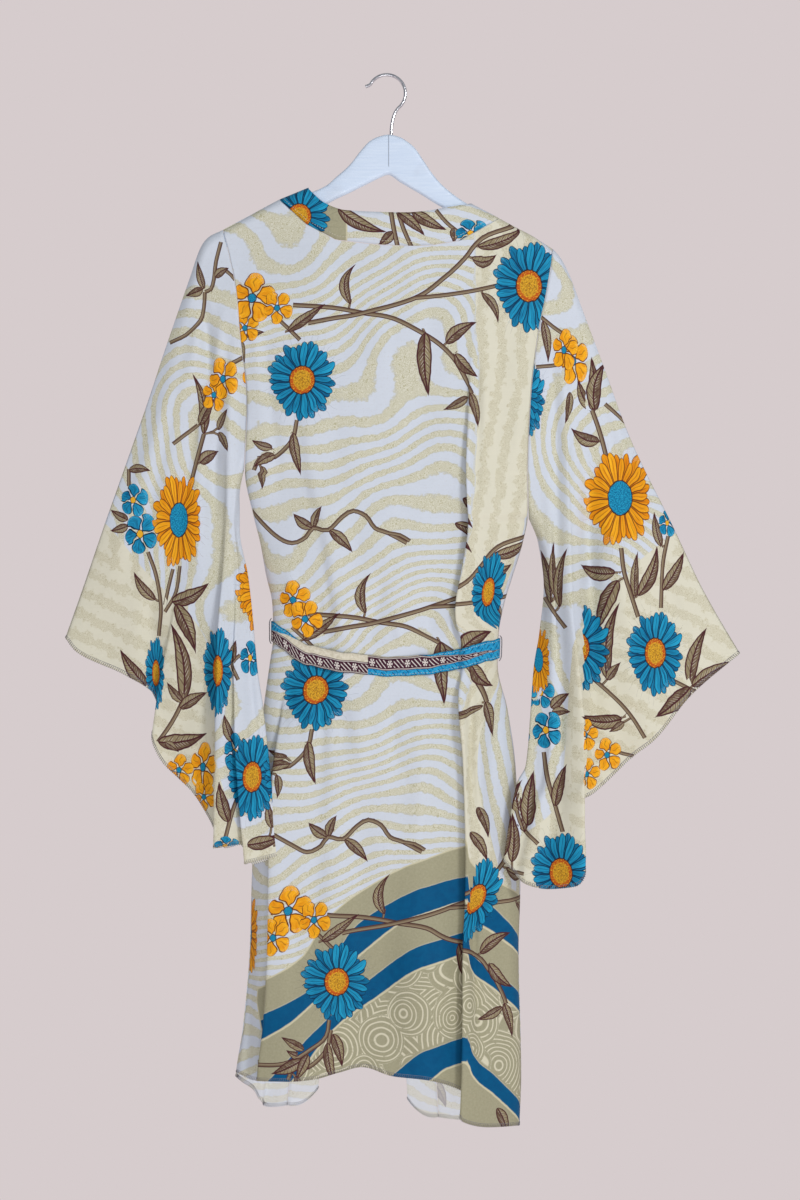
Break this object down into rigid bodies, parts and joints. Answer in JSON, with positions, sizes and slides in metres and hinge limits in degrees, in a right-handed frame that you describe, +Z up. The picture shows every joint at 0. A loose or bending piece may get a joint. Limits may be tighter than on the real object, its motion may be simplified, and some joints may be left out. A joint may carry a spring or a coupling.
{
  "type": "kimono robe on a hanger",
  "caption": "Short wide-sleeved kimono robe with a tie belt at the waist, hanging on a wooden hanger with a wire hook.",
  "frame": {"origin": "inside of the top of the hanger hook's bend, where it rests on a rail or peg", "axes": "+Z up, +X across the shoulders to the wearer's right, -Y the way the robe's back faces"},
  "size_m": [0.7425, 0.1237, 1.1631],
  "materials": {
    "printed_cloth": "light woven cloth with a printed pattern, soft sheen",
    "belt_cloth": "woven striped band, matte",
    "loop_thread": "twisted thread, matte",
    "white_painted_wood": "white paint, satin",
    "chrome_wire": "bright round wire"
  },
  "bodies": {
    "root": {"back_panel": "printed_cloth", "front_left": "printed_cloth", "front_right": "printed_cloth", "sleeve_left": "printed_cloth", "sleeve_right": "printed_cloth", "neckband": "printed_cloth", "belt": "belt_cloth", "belt_knot": "belt_cloth", "belt_end_left": "belt_cloth", "belt_end_right": "belt_cloth", "belt_loop_left": "loop_thread", "belt_loop_right": "loop_thread", "hanger_wood": "white_painted_wood", "hanger_hook": "chrome_wire"}
  },
  "joints": []
}
